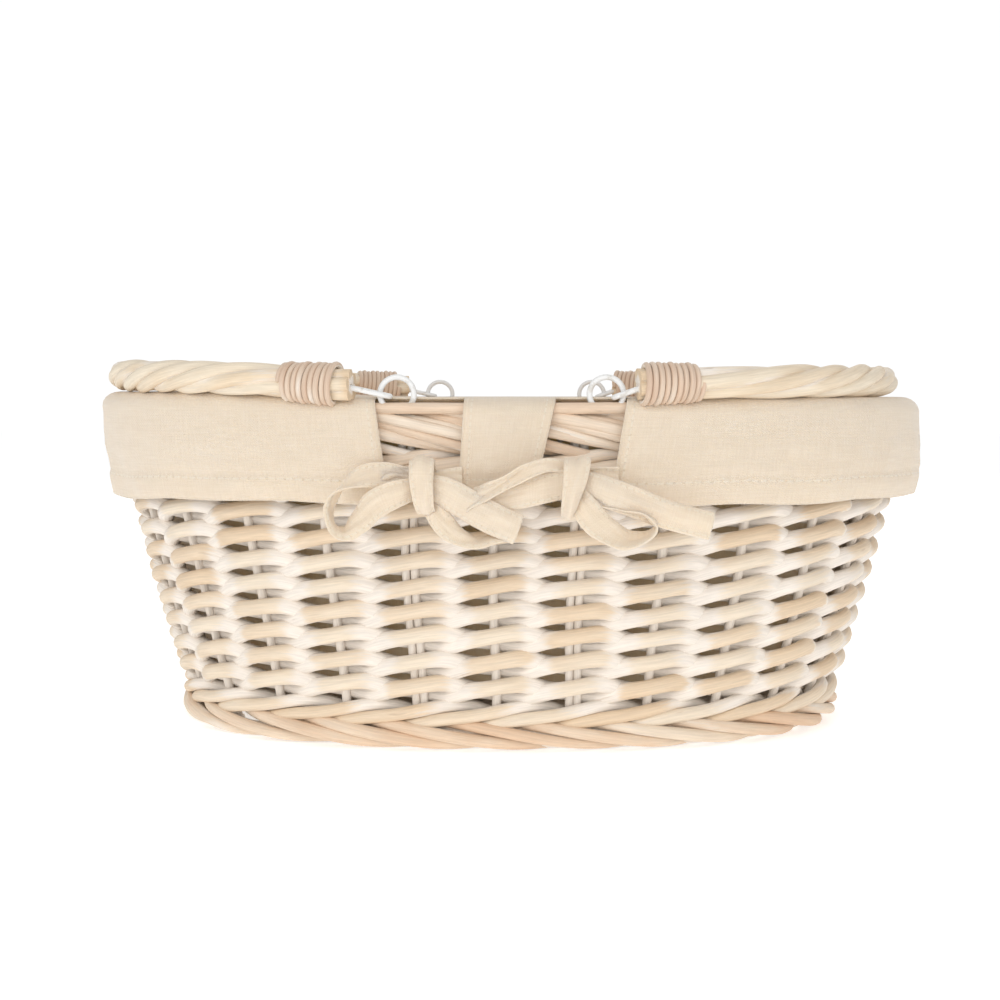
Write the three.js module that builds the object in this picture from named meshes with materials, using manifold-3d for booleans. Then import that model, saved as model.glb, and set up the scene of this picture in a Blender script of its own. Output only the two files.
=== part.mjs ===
// An oval willow basket with two folding handles and a tied cotton liner.
// Units are millimetres. +X runs along the basket's length, +Y to its back, +Z up. The origin is the
// middle of the foot, on the surface that the basket stands on.
import * as THREE from "three";
import { mergeVertices } from "three/addons/utils/BufferGeometryUtils.js";
import Module from "manifold-3d";

const wasm = await Module();
wasm.setup();

// Driving dimensions
const FOOT_HALF_LENGTH = 166;
const FOOT_HALF_WIDTH = 124;
const OVAL_POWER = 2.3; // 2 is an ellipse, and more is squarer
const FLARE_SLOPE = 0.345; // how fast the wall leans outwards at the foot
const FLARE_CURVE = 0.000515; // how the lean eases towards the rim
const GAP = 0.3; // between pieces that touch
const FIT = 0.4; // round a stake, stick or ring in its channel

// Heights of the woven bands
const FOOT_TOP = 9.8;
const WALE_TOP = 24;
const SIDE_TOP = 128;
const RIM_TOP = 165;
const SIDE_RIDGES = 4; // each stands for two rows of weaving
const INNER_HEIGHTS = [60, 100]; // where the inner face of the leaning wall turns

// Offsets outwards from the wall's outer face, so a negative one is inside it
const WALL_THICKNESS = 17;
const WEAVE_BULGE = 1.2;
const RIM_ROLL_RADIUS = 7.5;
const RIM_ROLL_OFFSET = -7;
const RIM_ROLL_HEIGHT = RIM_TOP - RIM_ROLL_RADIUS;
const FOOT_PROUD = 1;
const FOOT_INNER = -25;

// Stakes and base sticks
const STAKE_COUNT = 26;
const STAKE_SHIFT = -0.108; // of a stake's spacing, which sets the first one left of the middle
const STAKE_RADIUS = 2.3;
const STAKE_TOP = 150;
const ROUND_SIDES = 8;
const BASE_TOP = 20.2;
const STICK_RADIUS = 2.6;
const STICK_SPACING = 38;
const LONG_STICK_HEIGHT = 16.9;
const CROSS_STICK_HEIGHT = 11.5;
const CROSS_STICK_SPACING = 92;

// Liner
const CLOTH = 1.2;
const SKIRT_BOTTOM = 116;
const FLAP_HALF_GAP = 56.4; // half the opening between the end flaps, at the rim
const FLAP_EDGE_SLOPE = 0.15;
const TAB_HALF_WIDTH = 20.5; // at the rim
const TAB_EDGE_SLOPE = 0.09;

// Handles and their hardware
const HINGE_X = 46.7;
const HINGE_HEIGHT = 168;
const RING_RADIUS = 7.6;
const RING_WIRE = 1.3;
const RING_OFFSET = -3;
const HOOP_HALF_WIDTH = 170;
const HOOP_HEIGHT = 172.8; // above the hinge line, and it rises towards the end of the basket
const HOOP_RADIUS = 7.5;
// The two handles are bent by hand and differ: tilt is in degrees, and the rest in mm from the middle.
const HANDS = {
  left: { turned: false, halfLength: 200, tilt: 1.8, legEnd: 67, bindingStart: 73.5, bindingEnd: 98 },
  right: { turned: true, halfLength: 193, tilt: 0.7, legEnd: 60.5, bindingStart: 62.5, bindingEnd: 87.5 },
};
const BINDING_RADIUS = 9;
const EYE_TILT = THREE.MathUtils.degToRad(14);
const EYE_SLANT = THREE.MathUtils.degToRad(12);
const EYE_THICKNESS = 2.4;

const BAND_SEGMENTS = 52;

const willow = new THREE.MeshStandardMaterial({ color: 0xe0cbb0, roughness: 0.75 });
const peeled = new THREE.MeshStandardMaterial({ color: 0xe4dcd2, roughness: 0.8 });
const cotton = new THREE.MeshStandardMaterial({ color: 0xe8d8c0, roughness: 0.95 });
const cane = new THREE.MeshStandardMaterial({ color: 0xd8bfa6, roughness: 0.6 });
const paintedWire = new THREE.MeshStandardMaterial({
  color: 0xecebe8,
  roughness: 0.35,
  metalness: 0.1,
});

// ---- The oval and the leaning wall ----

class Oval extends THREE.Curve {
  // It starts at the front middle and runs towards +X.
  constructor(halfLength, halfWidth) {
    super();
    this.halfLength = halfLength;
    this.halfWidth = halfWidth;
    this.arcLengthDivisions = 800;
  }
  getPoint(t, target = new THREE.Vector3()) {
    const angle = 2 * Math.PI * t - Math.PI / 2;
    const c = Math.cos(angle);
    const s = Math.sin(angle);
    return target.set(
      this.halfLength * Math.sign(c) * Math.abs(c) ** (2 / OVAL_POWER),
      this.halfWidth * Math.sign(s) * Math.abs(s) ** (2 / OVAL_POWER),
      0,
    );
  }
}

const foot = new Oval(FOOT_HALF_LENGTH, FOOT_HALF_WIDTH);

function outward(x, y) {
  const along = Math.sign(x) * Math.abs(x / FOOT_HALF_LENGTH) ** (OVAL_POWER - 1) / FOOT_HALF_LENGTH;
  const across = Math.sign(y) * Math.abs(y / FOOT_HALF_WIDTH) ** (OVAL_POWER - 1) / FOOT_HALF_WIDTH;
  return new THREE.Vector3(along, across, 0).normalize();
}

const flare = (z) => FLARE_SLOPE * z - FLARE_CURVE * z * z;

// The point a share u round the basket, at a height, offset outwards from the wall's outer face.
function wallPoint(u, offset, z) {
  const p = foot.getPointAt(u);
  const n = outward(p.x, p.y);
  return p.addScaledVector(n, offset + flare(z)).setZ(z);
}

// Turns a closed profile of [offset, height] points on a lathe, and presses the ring into the oval.
function ovalBand(profile, segments = BAND_SEGMENTS) {
  const turnedRadius = 1000;
  const points = [...profile, profile[0]].map(([offset, z]) => new THREE.Vector2(turnedRadius + offset, z));
  const geometry = new THREE.LatheGeometry(points, segments);
  const position = geometry.getAttribute("position");
  for (let i = 0; i < position.count; i += 1) {
    const radius = Math.hypot(position.getX(i), position.getZ(i));
    const turn = Math.atan2(position.getX(i), position.getZ(i)) / (2 * Math.PI);
    const step = (Math.round(turn * segments) + segments) % segments;
    const p = wallPoint(step / segments, radius - turnedRadius, position.getY(i));
    position.setXYZ(i, p.x, p.y, p.z);
  }
  return geometry;
}

// A filled oval plate between two heights, its edge at an offset from the wall's outer face.
function ovalPlate(offset, bottom, top) {
  const outline = new THREE.Shape();
  for (let i = 0; i < BAND_SEGMENTS; i += 1) {
    const p = wallPoint(i / BAND_SEGMENTS, offset, bottom);
    if (i === 0) outline.moveTo(p.x, p.y);
    else outline.lineTo(p.x, p.y);
  }
  const geometry = new THREE.ExtrudeGeometry(outline, { depth: top - bottom, bevelEnabled: false });
  return geometry.translate(0, 0, bottom);
}

// ---- Solids that are joined or cut ----

function solid(geometry) {
  const bare = (geometry.index ? geometry.toNonIndexed() : geometry).clone();
  bare.deleteAttribute("normal");
  bare.deleteAttribute("uv");
  const merged = mergeVertices(bare, 1e-3);
  return new wasm.Manifold(
    new wasm.Mesh({
      numProp: 3,
      vertProperties: merged.getAttribute("position").array,
      triVerts: new Uint32Array(merged.index.array),
    }),
  );
}

function geometryOf(manifold) {
  const mesh = manifold.getMesh();
  const geometry = new THREE.BufferGeometry();
  geometry.setAttribute("position", new THREE.BufferAttribute(mesh.vertProperties, 3));
  geometry.setIndex(new THREE.BufferAttribute(mesh.triVerts, 1));
  geometry.computeVertexNormals();
  return geometry;
}

function circleShape(radius, sides = ROUND_SIDES) {
  const points = [];
  for (let i = 0; i < sides; i += 1) {
    const angle = (2 * Math.PI * (i + 0.5)) / sides;
    points.push(new THREE.Vector2(radius * Math.cos(angle), radius * Math.sin(angle)));
  }
  return new THREE.Shape(points);
}

function rodAlong(curve, radius, steps, sides = ROUND_SIDES) {
  return new THREE.ExtrudeGeometry(circleShape(radius, sides), {
    steps,
    extrudePath: curve,
    bevelEnabled: false,
  });
}

function rodBetween(from, to, radius) {
  return rodAlong(new THREE.LineCurve3(from, to), radius, 1);
}

// A slab of the front view, cut right through the basket from front to back.
function frontViewPrism(corners, nearY, farY) {
  const outline = new THREE.Shape(corners.map(([x, z]) => new THREE.Vector2(x, z)));
  const geometry = new THREE.ExtrudeGeometry(outline, { depth: farY - nearY, bevelEnabled: false });
  return solid(geometry.rotateX(Math.PI / 2).translate(0, farY, 0));
}

// ---- Stakes, which stand in channels through the weave ----

function stakePath(index, bottom, top) {
  const heights = [bottom, 55, 100, top];
  const middle = -WALL_THICKNESS / 2;
  const share = ((index + STAKE_SHIFT) / STAKE_COUNT + 1) % 1;
  return new THREE.CatmullRomCurve3(heights.map((z) => wallPoint(share, middle, z)));
}

const stakeSteps = 3;
const stakeSides = 6;
const stakes = [];
let channels = null;
for (let i = 0; i < STAKE_COUNT; i += 1) {
  const stake = stakePath(i, FOOT_TOP + 1.6, STAKE_TOP);
  const clear = stakePath(i, FOOT_TOP - 2, STAKE_TOP + 1);
  stakes.push(rodAlong(stake, STAKE_RADIUS, stakeSteps, stakeSides));
  const channel = solid(rodAlong(clear, STAKE_RADIUS + FIT, stakeSteps, stakeSides));
  channels = channels ? channels.add(channel) : channel;
}

// ---- Woven bands of the body ----

const footBorder = ovalBand([
  [FOOT_INNER, 0],
  [-2, 0],
  [FOOT_PROUD, 4],
  [FOOT_PROUD, 8],
  [-1, FOOT_TOP],
  [FOOT_INNER, FOOT_TOP],
]);

const lowerWale = solid(
  ovalBand([
    [-WALL_THICKNESS, FOOT_TOP + GAP],
    [-1, FOOT_TOP + GAP],
    [WEAVE_BULGE, 13.5],
    [0, 17],
    [WEAVE_BULGE, 20.5],
    [-1, WALE_TOP],
    [-WALL_THICKNESS, WALE_TOP],
  ]),
).subtract(channels);

function sideProfile() {
  const bottom = WALE_TOP + GAP;
  const pitch = (SIDE_TOP - bottom) / SIDE_RIDGES;
  const profile = [[-WALL_THICKNESS, bottom]];
  for (let row = 0; row < SIDE_RIDGES; row += 1) {
    profile.push([-WEAVE_BULGE, bottom + row * pitch]);
    profile.push([WEAVE_BULGE, bottom + (row + 0.5) * pitch]);
  }
  profile.push([-WEAVE_BULGE, SIDE_TOP]);
  profile.push([-WALL_THICKNESS, SIDE_TOP]);
  profile.push(...INNER_HEIGHTS.map((z) => [-WALL_THICKNESS, z]).reverse());
  return profile;
}

const sideWeave = solid(ovalBand(sideProfile())).subtract(channels);

function rimProfile() {
  const arcSteps = 6;
  const profile = [
    [RIM_ROLL_OFFSET - RIM_ROLL_RADIUS, SIDE_TOP + GAP],
    [RIM_ROLL_OFFSET + RIM_ROLL_RADIUS, SIDE_TOP + GAP],
  ];
  for (let i = 0; i <= arcSteps; i += 1) {
    const angle = (Math.PI * i) / arcSteps;
    profile.push([
      RIM_ROLL_OFFSET + RIM_ROLL_RADIUS * Math.cos(angle),
      RIM_ROLL_HEIGHT + RIM_ROLL_RADIUS * Math.sin(angle),
    ]);
  }
  return profile;
}

// Where a handle ring stands: its middle lies on the handle's hinge line.
const ringDepth = (() => {
  let near = 0;
  let far = 0.25;
  for (let i = 0; i < 40; i += 1) {
    const half = (near + far) / 2;
    if (wallPoint(half, RING_OFFSET, RIM_TOP).x < HINGE_X) near = half;
    else far = half;
  }
  return -wallPoint(near, RING_OFFSET, RIM_TOP).y;
})();

function ringGeometry(wireRadius) {
  return new THREE.TorusGeometry(RING_RADIUS, wireRadius, 6, 24).rotateX(Math.PI / 2);
}

const ringPlaces = {
  front_left: [-HINGE_X, -ringDepth],
  front_right: [HINGE_X, -ringDepth],
  back_left: [-HINGE_X, ringDepth],
  back_right: [HINGE_X, ringDepth],
};

let rimBorder = solid(ovalBand(rimProfile())).subtract(channels);
for (const [x, y] of Object.values(ringPlaces)) {
  const seat = ringGeometry(RING_WIRE + FIT).translate(x, y, HINGE_HEIGHT);
  rimBorder = rimBorder.subtract(solid(seat));
}

// ---- Base: sticks in a woven plate ----

const longSticks = [-STICK_SPACING, 0, STICK_SPACING].map((y) => {
  const reach = (FOOT_HALF_LENGTH - WALL_THICKNESS - 2) * (1 - Math.abs(y / FOOT_HALF_WIDTH) ** OVAL_POWER);
  return [new THREE.Vector3(-reach, y, LONG_STICK_HEIGHT), new THREE.Vector3(reach, y, LONG_STICK_HEIGHT)];
});
const crossSticks = [-CROSS_STICK_SPACING, 0, CROSS_STICK_SPACING].map((x) => {
  const reach = (FOOT_HALF_WIDTH + FOOT_INNER - 2) * (1 - Math.abs(x / FOOT_HALF_LENGTH) ** OVAL_POWER);
  return [new THREE.Vector3(x, -reach, CROSS_STICK_HEIGHT), new THREE.Vector3(x, reach, CROSS_STICK_HEIGHT)];
});

let baseWeave = solid(ovalPlate(-WALL_THICKNESS - FIT, FOOT_TOP + GAP, BASE_TOP));
for (const [from, to] of [...longSticks, ...crossSticks]) {
  const run = to.clone().sub(from).normalize().multiplyScalar(FOOT_HALF_LENGTH);
  const open = from.z === LONG_STICK_HEIGHT;
  const start = open ? from.clone().sub(run) : from.clone().addScaledVector(run, -0.003);
  const end = open ? to.clone().add(run) : to.clone().addScaledVector(run, 0.003);
  baseWeave = baseWeave.subtract(solid(rodBetween(start, end, STICK_RADIUS + FIT)));
}

// ---- Liner: a bag, two end flaps and two tabs, folded over the rim ----

const bagOffset = -WALL_THICKNESS - GAP;
const bagBottom = BASE_TOP + GAP;
const bagHeights = [bagBottom, ...INNER_HEIGHTS, SIDE_TOP, RIM_TOP - 2];
const bagWall = ovalBand([
  ...bagHeights.map((z) => [bagOffset, z]),
  ...bagHeights.map((z) => [bagOffset - CLOTH, z]).reverse(),
]);
const bagFloor = ovalPlate(bagOffset - CLOTH / 2, bagBottom, bagBottom + CLOTH);
const linerBag = geometryOf(solid(bagWall).add(solid(bagFloor)));

// The cloth's path over the rim and down outside it, which hangs nearly upright.
function foldedCloth() {
  const near = RIM_ROLL_RADIUS + GAP;
  const arcSteps = 6;
  const arc = (radius) => {
    const points = [];
    for (let i = 0; i <= arcSteps; i += 1) {
      const angle = (Math.PI * i) / arcSteps;
      points.push([RIM_ROLL_OFFSET + radius * Math.cos(angle), RIM_ROLL_HEIGHT + radius * Math.sin(angle)]);
    }
    return points;
  };
  const skirt = [
    [6.2, SKIRT_BOTTOM],
    [6.5, 130],
    [5, 145],
  ];
  const outside = skirt.map(([offset, z]) => [offset + CLOTH, z]);
  return [...outside, ...arc(near + CLOTH), ...arc(near).reverse(), ...skirt.reverse()];
}

const fold = solid(ovalBand(foldedCloth()));
const farX = 300;
const farY = 300;
const above = 200;
const below = 100;
const flapEdge = (z) => FLAP_HALF_GAP + FLAP_EDGE_SLOPE * (z - RIM_TOP);
const tabEdge = (z) => TAB_HALF_WIDTH + TAB_EDGE_SLOPE * (z - RIM_TOP);
const flapEnd = frontViewPrism(
  [
    [-farX, below],
    [-flapEdge(below), below],
    [-flapEdge(above), above],
    [-farX, above],
  ],
  -farY,
  farY,
);
const tabFront = frontViewPrism(
  [
    [-tabEdge(below), below],
    [tabEdge(below), below],
    [tabEdge(above), above],
    [-tabEdge(above), above],
  ],
  -farY,
  0,
);
const endFlap = geometryOf(fold.intersect(flapEnd));
const middleTab = geometryOf(fold.intersect(tabFront));

// ---- Bows: each ties an end flap to a tab ----

function bow(spreadLeft, spreadRight) {
  const lobe = (halfLength, halfHeight, x, z, tilt) =>
    solid(
      new THREE.SphereGeometry(1, 8, 6)
        .scale(halfLength, 3.2, halfHeight)
        .rotateY(tilt)
        .translate(x, 0, z),
    );
  const knot = solid(new THREE.SphereGeometry(1, 7, 5).scale(7, 5, 9.5));
  return geometryOf(
    knot
      .add(lobe(spreadLeft / 2, 8.5, -spreadLeft / 2, -5, -0.25))
      .add(lobe(spreadRight / 2, 8.5, spreadRight / 2, -5, 0.25)),
  );
}

const BOW_HEIGHT = 126;
const BOW_OFFSET = 13.5;
const BOW_X = 36;
const bowDepth = FOOT_HALF_WIDTH + flare(BOW_HEIGHT) + BOW_OFFSET - 2;

// ---- A handle: a twisted hoop, a binding and a wire eye on each leg ----

// The share of the hoop's oval, on its front left quarter, at a distance from the middle.
function hoopShare(oval, distance) {
  let near = 1;
  let far = 0.75;
  for (let i = 0; i < 40; i += 1) {
    const half = (near + far) / 2;
    if (-oval.getPointAt(half).x < distance) near = half;
    else far = half;
  }
  return near;
}

const HINGE_AXIS = new THREE.Vector3(0, 1, 0);

class HoopPath extends THREE.Curve {
  // From one share of the hoop's oval to another, in the handle's own frame at its hinge line.
  constructor(oval, tilt, from, to) {
    super();
    this.oval = oval;
    this.tilt = THREE.MathUtils.degToRad(tilt);
    this.from = from;
    this.to = to;
  }
  getPoint(t, target = new THREE.Vector3()) {
    const p = this.oval.getPointAt(this.from + (this.to - this.from) * t);
    return target
      .set(p.x + HINGE_X, p.y, HOOP_HEIGHT - HINGE_HEIGHT)
      .applyAxisAngle(HINGE_AXIS, this.tilt);
  }
}

const SHANK_DEPTH = 4; // of the eye's shank inside the leg

// A wire eye: a long loop round the ring's wire, with a shank that runs into the leg. It hangs on the
// ring's wire at the origin's left, and slants up and out to the leg on the side given.
function eyeGeometry(side, legEnd, grow = 0) {
  const halfWire = 1.1 + grow;
  const bend = 3.4; // from the loop's middle line to the middle of its wire
  const nearMiddle = 1.4; // from the ring's wire to the middle of each round end
  const farMiddle = -1.8;
  const shankEnd = HINGE_X + RING_RADIUS - legEnd - SHANK_DEPTH - grow;
  const outer = bend + halfWire;
  const outline = new THREE.Shape();
  outline.moveTo(nearMiddle, -outer);
  outline.absarc(nearMiddle, 0, outer, -Math.PI / 2, Math.PI / 2, false);
  outline.lineTo(farMiddle, outer);
  outline.lineTo(farMiddle - outer, 1.5 + grow);
  outline.lineTo(shankEnd, 1.5 + grow);
  outline.lineTo(shankEnd, -1.5 - grow);
  outline.lineTo(farMiddle - outer, -1.5 - grow);
  outline.lineTo(farMiddle, -outer);
  outline.closePath();
  if (grow === 0) {
    const inner = bend - halfWire;
    const hole = new THREE.Path();
    hole.moveTo(nearMiddle, -inner);
    hole.absarc(nearMiddle, 0, inner, -Math.PI / 2, Math.PI / 2, false);
    hole.lineTo(farMiddle, inner);
    hole.absarc(farMiddle, 0, inner, Math.PI / 2, (3 * Math.PI) / 2, false);
    outline.holes.push(hole);
  }
  const depth = EYE_THICKNESS + 2 * grow;
  return new THREE.ExtrudeGeometry(outline, { depth, curveSegments: 5, bevelEnabled: false })
    .translate(0, 0, -depth / 2)
    .rotateY(EYE_TILT)
    .rotateZ(-side * EYE_SLANT)
    .translate(-RING_RADIUS, side * ringDepth, 0);
}

function handle(name) {
  const { turned, halfLength, tilt, legEnd, bindingStart, bindingEnd } = HANDS[name];
  const oval = new Oval(halfLength, HOOP_HALF_WIDTH);
  const group = new THREE.Group();
  group.position.set(turned ? HINGE_X : -HINGE_X, 0, HINGE_HEIGHT);
  group.rotation.z = turned ? Math.PI : 0;
  const start = hoopShare(oval, legEnd);
  const whole = new HoopPath(oval, tilt, start, 1.5 - start);
  let hoop = solid(rodAlong(whole, HOOP_RADIUS, 28, 10));
  for (const side of [-1, 1]) {
    hoop = hoop.subtract(solid(eyeGeometry(side, legEnd, FIT)));
  }
  group.add(named(`${name}_handle_hoop`, geometryOf(hoop), willow));
  for (const side of [-1, 1]) {
    const leg = (side < 0) === turned ? "back" : "front";
    const mirrored = side < 0 ? (u) => u : (u) => 1.5 - u;
    const ends = [bindingStart, bindingEnd].map((x) => mirrored(hoopShare(oval, x)));
    const run = new HoopPath(oval, tilt, ...ends);
    const sleeve = circleShape(BINDING_RADIUS, 12);
    sleeve.holes.push(circleShape(HOOP_RADIUS + 2 * FIT, 12));
    const binding = new THREE.ExtrudeGeometry(sleeve, { steps: 3, extrudePath: run, bevelEnabled: false });
    group.add(named(`${name}_handle_${leg}_binding`, binding, cane));
    group.add(named(`${name}_handle_${leg}_eye`, eyeGeometry(side, legEnd), paintedWire));
  }
  return group;
}

// ---- Assembly ----

function named(name, geometry, material) {
  const mesh = new THREE.Mesh(geometry, material);
  mesh.name = name;
  return mesh;
}

// The same piece again, turned half a turn about the basket's upright axis.
function turnedCopy(name, geometry, material) {
  const mesh = named(name, geometry, material);
  mesh.rotation.z = Math.PI;
  return mesh;
}

const basket = new THREE.Group();
const twoDigits = (n) => String(n).padStart(2, "0");

basket.add(named("foot_border", footBorder, willow));
basket.add(named("base_weave", geometryOf(baseWeave), willow));
longSticks.forEach(([from, to], i) => {
  basket.add(named(`base_long_stick_${i + 1}`, rodBetween(from, to, STICK_RADIUS), peeled));
});
crossSticks.forEach(([from, to], i) => {
  basket.add(named(`base_cross_stick_${i + 1}`, rodBetween(from, to, STICK_RADIUS), peeled));
});
stakes.forEach((stake, i) => basket.add(named(`stake_${twoDigits(i + 1)}`, stake, peeled)));
basket.add(named("lower_wale", geometryOf(lowerWale), willow));
basket.add(named("side_weave", geometryOf(sideWeave), willow));
basket.add(named("rim_border", geometryOf(rimBorder), willow));

basket.add(named("liner_bag", linerBag, cotton));
basket.add(named("liner_left_flap", endFlap, cotton));
basket.add(turnedCopy("liner_right_flap", endFlap, cotton));
basket.add(named("liner_front_tab", middleTab, cotton));
basket.add(turnedCopy("liner_back_tab", middleTab, cotton));

const bowPlaces = {
  front_left: [-BOW_X, -bowDepth, 0],
  front_right: [BOW_X, -bowDepth, 0],
  back_left: [-BOW_X, bowDepth, Math.PI],
  back_right: [BOW_X, bowDepth, Math.PI],
};
for (const [place, [x, y, turn]] of Object.entries(bowPlaces)) {
  const outer = 50;
  const inner = 34;
  const outerOnLeft = x * Math.cos(turn) < 0;
  const tie = named(`${place}_bow`, outerOnLeft ? bow(outer, inner) : bow(inner, outer), cotton);
  tie.position.set(x, y, BOW_HEIGHT);
  tie.rotation.z = turn;
  basket.add(tie);
}

for (const [place, [x, y]] of Object.entries(ringPlaces)) {
  const ring = named(`${place}_ring`, ringGeometry(RING_WIRE), paintedWire);
  ring.position.set(x, y, HINGE_HEIGHT);
  basket.add(ring);
}
basket.add(handle("left"));
basket.add(handle("right"));

export default basket;
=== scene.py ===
import math

import bpy
import numpy as np
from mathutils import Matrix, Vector, noise


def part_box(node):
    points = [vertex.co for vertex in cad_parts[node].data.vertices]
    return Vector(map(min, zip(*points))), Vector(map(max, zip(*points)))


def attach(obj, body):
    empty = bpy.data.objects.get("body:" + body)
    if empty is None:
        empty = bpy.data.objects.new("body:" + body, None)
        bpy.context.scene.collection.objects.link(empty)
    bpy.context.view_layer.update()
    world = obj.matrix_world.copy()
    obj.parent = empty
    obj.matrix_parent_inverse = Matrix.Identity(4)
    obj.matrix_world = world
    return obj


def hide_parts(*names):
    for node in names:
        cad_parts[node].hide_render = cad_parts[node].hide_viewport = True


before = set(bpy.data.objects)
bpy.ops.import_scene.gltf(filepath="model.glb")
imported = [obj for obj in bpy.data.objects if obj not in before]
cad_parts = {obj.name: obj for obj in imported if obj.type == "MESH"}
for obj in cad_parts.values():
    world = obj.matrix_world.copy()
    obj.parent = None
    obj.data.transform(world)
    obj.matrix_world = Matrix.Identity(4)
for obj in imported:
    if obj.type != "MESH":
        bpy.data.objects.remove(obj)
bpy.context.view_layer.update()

# ---- Camera, light and floor ----
# The camera stands a metre in front of the basket, a touch to its right, at the height of its rim,
# and looks slightly down. Large soft lights and a white floor give a shadow only under the foot.
bpy.context.scene.view_settings.view_transform = "Standard"
bpy.ops.object.select_all(action="DESELECT")

CAMERA_DISTANCE = 1.0
CAMERA_AZIMUTH = math.radians(1.3)
CAMERA_HEIGHT = 0.168
bpy.ops.object.camera_add(
    location=(
        CAMERA_DISTANCE * math.sin(CAMERA_AZIMUTH),
        -CAMERA_DISTANCE * math.cos(CAMERA_AZIMUTH),
        CAMERA_HEIGHT,
    ),
    rotation=(math.radians(90 - 3.22), 0, CAMERA_AZIMUTH + math.radians(0.30)),
)
camera = bpy.context.object
camera.data.lens = 67.7
bpy.context.scene.camera = camera


def studio_light(name, position, size, power):
    bpy.ops.object.light_add(type="AREA", location=position)
    light = bpy.context.object
    light.name = name
    light.rotation_euler = (Vector((0, 0, 0.08)) - Vector(position)).to_track_quat("-Z", "Y").to_euler()
    light.data.size = size
    light.data.energy = power


studio_light("key_light", (-0.5, -1.95, 1.05), 1.5, 13.5)
studio_light("fill_light", (1.3, -1.7, 0.45), 1.6, 3.5)
studio_light("back_light", (0.4, 1.8, 1.6), 1.6, 9)

world = bpy.data.worlds.new("studio")
bpy.context.scene.world = world
world.use_nodes = True
backdrop = world.node_tree.nodes["Background"]
backdrop.inputs["Color"].default_value = (1.0, 1.0, 1.0, 1)
seen = world.node_tree.nodes.new("ShaderNodeLightPath")
strength = world.node_tree.nodes.new("ShaderNodeMapRange")
strength.inputs["To Min"].default_value = 0.60
strength.inputs["To Max"].default_value = 1.02
world.node_tree.links.new(seen.outputs["Is Camera Ray"], strength.inputs["Value"])
world.node_tree.links.new(strength.outputs["Result"], backdrop.inputs["Strength"])

bpy.ops.mesh.primitive_plane_add(size=14, location=(0, 0, 0))
floor = bpy.context.object
floor.name = "studio_floor"
floor_paint = bpy.data.materials.new("studio_floor_paint")
floor_paint.use_nodes = True
floor_shader = floor_paint.node_tree.nodes["Principled BSDF"]
floor_shader.inputs["Base Color"].default_value = (0.9, 0.9, 0.9, 1)
floor_shader.inputs["Roughness"].default_value = 0.9
floor_shader.inputs["Emission Color"].default_value = (1, 1, 1, 1)
floor_shader.inputs["Emission Strength"].default_value = 0.46
floor.data.materials.append(floor_paint)

# ---- Base: long and cross sticks, and rods woven over and under them ----
# The base is a flat oval plate of willow: three sticks each way, pierced and crossed, with pairs of
# thin rods woven round them from the middle to the edge. All of it is dipped in thin white paint.
FOOT_HALF_LENGTH = 0.166
FOOT_HALF_WIDTH = 0.124
OVAL_POWER = 2.3
BASE_MIDDLE_HEIGHT = 0.0142
BASE_RINGS = 12
BASE_RING_PITCH = 0.0086
BASE_HALF_LENGTH = 0.149
BASE_HALF_WIDTH = 0.102
BASE_ROD_RADIUS = 0.00235
STICK_RADIUS = 0.0026


def oval(half_length, half_width, share):
    """Points of an oval at shares of its length from the front middle, and the ways out of it."""
    angle = np.linspace(-math.pi / 2, 1.5 * math.pi, 6001)
    c, s = np.cos(angle), np.sin(angle)
    x = half_length * np.sign(c) * np.abs(c) ** (2 / OVAL_POWER)
    y = half_width * np.sign(s) * np.abs(s) ** (2 / OVAL_POWER)
    run = np.concatenate([[0.0], np.cumsum(np.hypot(np.diff(x), np.diff(y)))])
    share = np.mod(share, 1.0)
    x = np.interp(share, run / run[-1], x)
    y = np.interp(share, run / run[-1], y)
    out_x = np.sign(x) * np.abs(x / half_length) ** (OVAL_POWER - 1) / half_length
    out_y = np.sign(y) * np.abs(y / half_width) ** (OVAL_POWER - 1) / half_width
    size = np.hypot(out_x, out_y)
    flat = np.zeros_like(x)
    return np.stack([x, y, flat], -1), np.stack([out_x / size, out_y / size, flat], -1)


def only(piece):
    """Selects one object and makes it the active one."""
    bpy.ops.object.select_all(action="DESELECT")
    piece.select_set(True)
    bpy.context.view_layer.objects.active = piece


def rod(points, out, radii, bare, tone):
    """One rod's values at each of its points. A single value is spread over them all."""
    count = len(points)
    run = {"points": points, "out": np.array(np.broadcast_to(out, points.shape), float)}
    for label, value in (("radii", radii), ("bare", bare), ("tone", tone)):
        run[label] = np.array(np.broadcast_to(value, count), float)
    return run


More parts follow.
